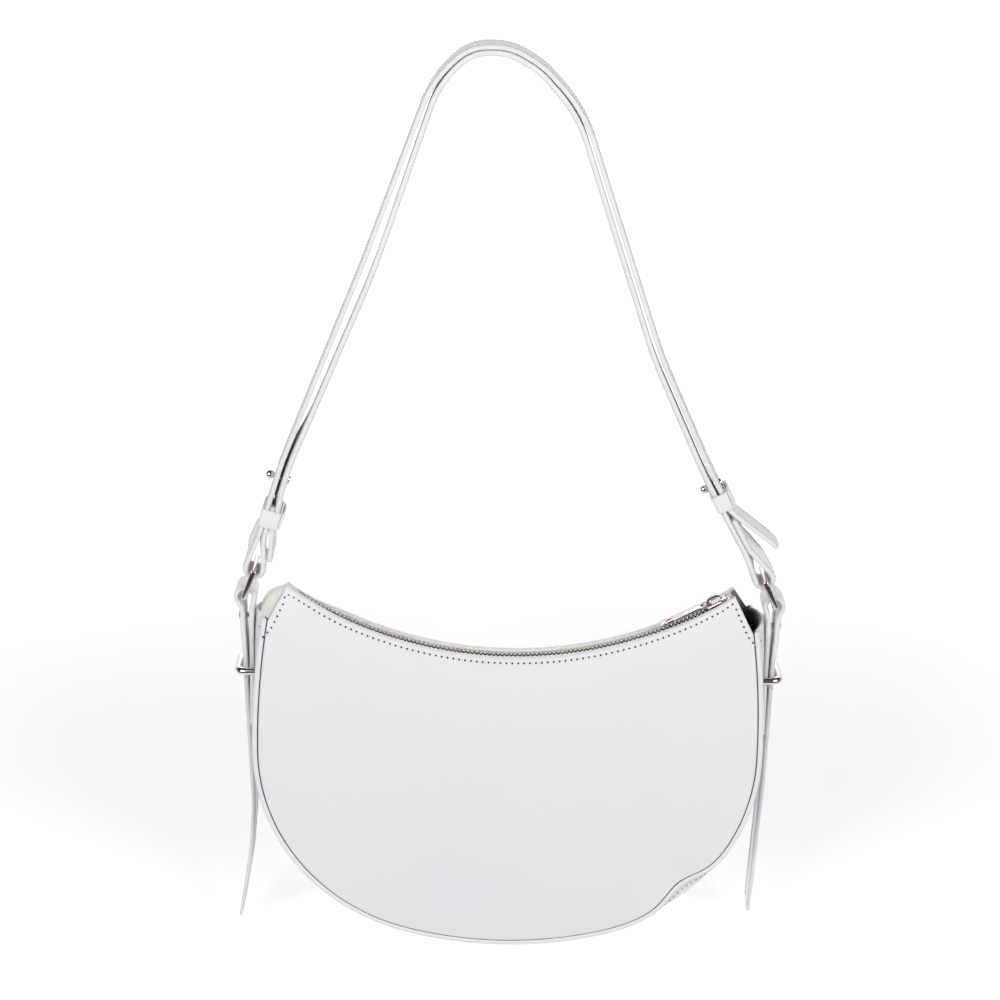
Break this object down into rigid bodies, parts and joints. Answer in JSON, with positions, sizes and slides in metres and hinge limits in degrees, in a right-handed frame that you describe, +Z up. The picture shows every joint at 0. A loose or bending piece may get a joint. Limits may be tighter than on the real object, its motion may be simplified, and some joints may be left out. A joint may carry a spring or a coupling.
{
  "type": "half moon shoulder bag",
  "caption": "Half moon shoulder bag in smooth white leather: zip across the dipped mouth, side tabs with rings, doubled strap with keepers and ball studs.",
  "frame": {"origin": "the hang point: middle of the flat underside of the strap's top, where it lies on a hook or shoulder", "axes": "+X to the bag's right seen from the front, +Y from the front to the back, +Z up along the strap"},
  "size_m": [0.3081, 0.058, 0.5054],
  "materials": {
    "panel_leather": "smooth, semi-gloss",
    "strap_leather": "smooth, semi-gloss",
    "lining": "plain weave",
    "zip_tape": "herringbone weave",
    "zip_metal": "polished, pale warm nickel",
    "hardware": "polished, pale warm nickel"
  },
  "bodies": {
    "shoulder_strap": {"outer_strap": "strap_leather", "inner_strap": "strap_leather", "left_stud": "hardware", "right_stud": "hardware", "left_stud_screw": "hardware", "right_stud_screw": "hardware"},
    "left_keeper": {"left_keeper": "strap_leather"},
    "right_keeper": {"right_keeper": "strap_leather"},
    "left_ring": {"left_ring": "hardware"},
    "right_ring": {"right_ring": "hardware"},
    "bag": {"front_panel": "panel_leather", "back_panel": "panel_leather", "gusset": "panel_leather", "front_lining": "lining", "back_lining": "lining", "gusset_lining": "lining", "front_zip_tape": "zip_tape", "back_zip_tape": "zip_tape", "front_zip_teeth": "zip_metal", "back_zip_teeth": "zip_metal", "zip_stops": "zip_metal", "zip_end": "zip_tape", "left_side_tab": "strap_leather", "right_side_tab": "strap_leather", "left_tab_rivet": "hardware", "right_tab_rivet": "hardware", "left_tab_rivet_cap": "hardware", "right_tab_rivet_cap": "hardware", "left_side_loop": "hardware", "right_side_loop": "hardware"},
    "zip_slider": {"zip_slider": "zip_metal"},
    "zip_pull": {"zip_pull": "zip_metal"},
    "left_tail": {"left_tail": "strap_leather"},
    "right_tail": {"right_tail": "strap_leather"}
  },
  "joints": [
    {"name": "left_ring_swing", "type": "hinge", "parent": "shoulder_strap", "child": "left_ring", "pos_m": [-0.1292, 0, -0.277], "axis": [0, 1, 0], "range_deg": [-12, 12]},
    {"name": "right_ring_swing", "type": "hinge", "parent": "shoulder_strap", "child": "right_ring", "pos_m": [0.14897, 0, -0.28324], "axis": [0, 1, 0], "range_deg": [-12.4, 12.4]},
    {"name": "bag_swing", "type": "hinge", "parent": "left_ring", "child": "bag", "pos_m": [-0.13427, 0, -0.29058], "axis": [0, 1, 0], "range_deg": [-11.6, 11.6]},
    {"name": "zip_run", "type": "hinge", "parent": "bag", "child": "zip_slider", "pos_m": [0.01417, 0, -0.11925], "axis": [0, 1, 0], "range_deg": [0, 59]},
    {"name": "zip_pull_lift", "type": "hinge", "parent": "zip_slider", "child": "zip_pull", "pos_m": [0.12008, 0, -0.29881], "axis": [0, 1, 0], "range_deg": [0, 115]},
    {"name": "left_tail_swing", "type": "hinge", "parent": "bag", "child": "left_tail", "pos_m": [-0.13593, 0, -0.34116], "axis": [0, 1, 0], "range_deg": [0, 60]},
    {"name": "right_tail_swing", "type": "hinge", "parent": "bag", "child": "right_tail", "pos_m": [0.15486, 0, -0.34725], "axis": [0, 1, 0], "range_deg": [-60, 0]},
    {"name": "left_keeper_slide", "type": "slide", "parent": "shoulder_strap", "child": "left_keeper", "axis": [0.3131, 0, 0.9497], "range_m": [-0.0015, 0.013]},
    {"name": "right_keeper_slide", "type": "slide", "parent": "shoulder_strap", "child": "right_keeper", "axis": [-0.4632, 0, 0.8862], "range_m": [-0.002, 0.0004]}
  ],
  "couplings": [
    {"joint": "right_ring_swing", "follows": "left_ring_swing", "ratio": 1.0307},
    {"joint": "bag_swing", "follows": "left_ring_swing", "ratio": -0.96261}
  ]
}
